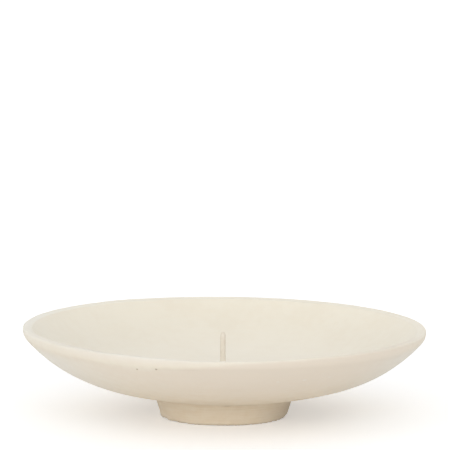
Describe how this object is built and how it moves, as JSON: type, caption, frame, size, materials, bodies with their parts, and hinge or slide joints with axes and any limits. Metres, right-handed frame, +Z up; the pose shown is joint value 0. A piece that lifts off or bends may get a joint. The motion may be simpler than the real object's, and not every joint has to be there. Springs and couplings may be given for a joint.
{
  "type": "candle plate",
  "caption": "Shallow round footed ceramic dish with an upright metal spike at its centre that holds a pillar candle.",
  "frame": {"origin": "on the table under the middle of the rim", "axes": "+Z up, -Y towards the viewer of the picture, +X to the right, the side the rim leans down to"},
  "size_m": [0.23, 0.23, 0.0519],
  "materials": {
    "clay": "matte, chalky, hand-turned",
    "spike_paint": "matte cream paint",
    "soft_washer": "matte",
    "zinc_steel": "zinc-plated"
  },
  "bodies": {
    "root": {"dish": "clay", "candle_spike": "spike_paint", "seat_washer": "soft_washer", "backing_washer": "soft_washer", "steel_washer": "zinc_steel", "hex_nut": "zinc_steel"}
  },
  "joints": []
}
